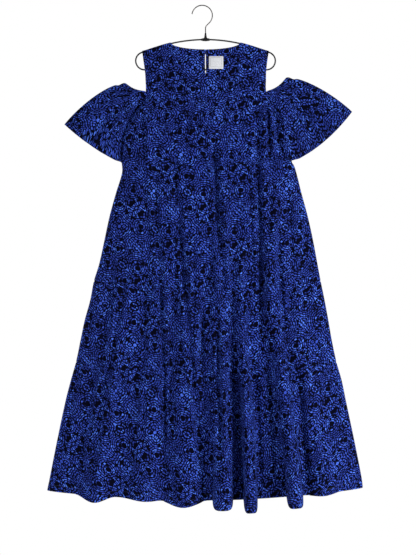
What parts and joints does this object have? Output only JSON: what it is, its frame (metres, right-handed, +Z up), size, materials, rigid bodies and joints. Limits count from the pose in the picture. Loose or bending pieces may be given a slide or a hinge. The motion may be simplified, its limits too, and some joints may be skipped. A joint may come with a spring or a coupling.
{
  "type": "tiered dress on a wire hanger",
  "caption": "Tiered dress with gathered tiers, open shoulders and bell sleeves, hanging by its shoulders on a thin wire hanger with a hook.",
  "frame": {"origin": "inside top of the hanger's hook, where it rests on a rail", "axes": "+Z up along the dress's length, +X to the right seen from the dress's back, +Y from the back, which has the slit, to the front"},
  "size_m": [0.925, 0.2182, 1.465],
  "materials": {
    "printed_cotton": "matt thin woven cotton with a small all-over print of blue dashes on near-black",
    "woven_label": "smooth off-white woven tape",
    "coated_wire": "satin black coating on steel wire",
    "bright_wire": "bright grey plated steel wire"
  },
  "bodies": {
    "root": {"back_yoke_left": "printed_cotton", "back_yoke_right": "printed_cotton", "front_yoke": "printed_cotton", "upper_tier_back": "printed_cotton", "upper_tier_front": "printed_cotton", "middle_tier_back": "printed_cotton", "middle_tier_front": "printed_cotton", "bottom_tier_back": "printed_cotton", "bottom_tier_front": "printed_cotton", "sleeve_left": "printed_cotton", "sleeve_right": "printed_cotton", "neck_label": "woven_label", "hanger_frame": "coated_wire", "hanger_collar": "coated_wire", "hanger_hook": "bright_wire"}
  },
  "joints": []
}
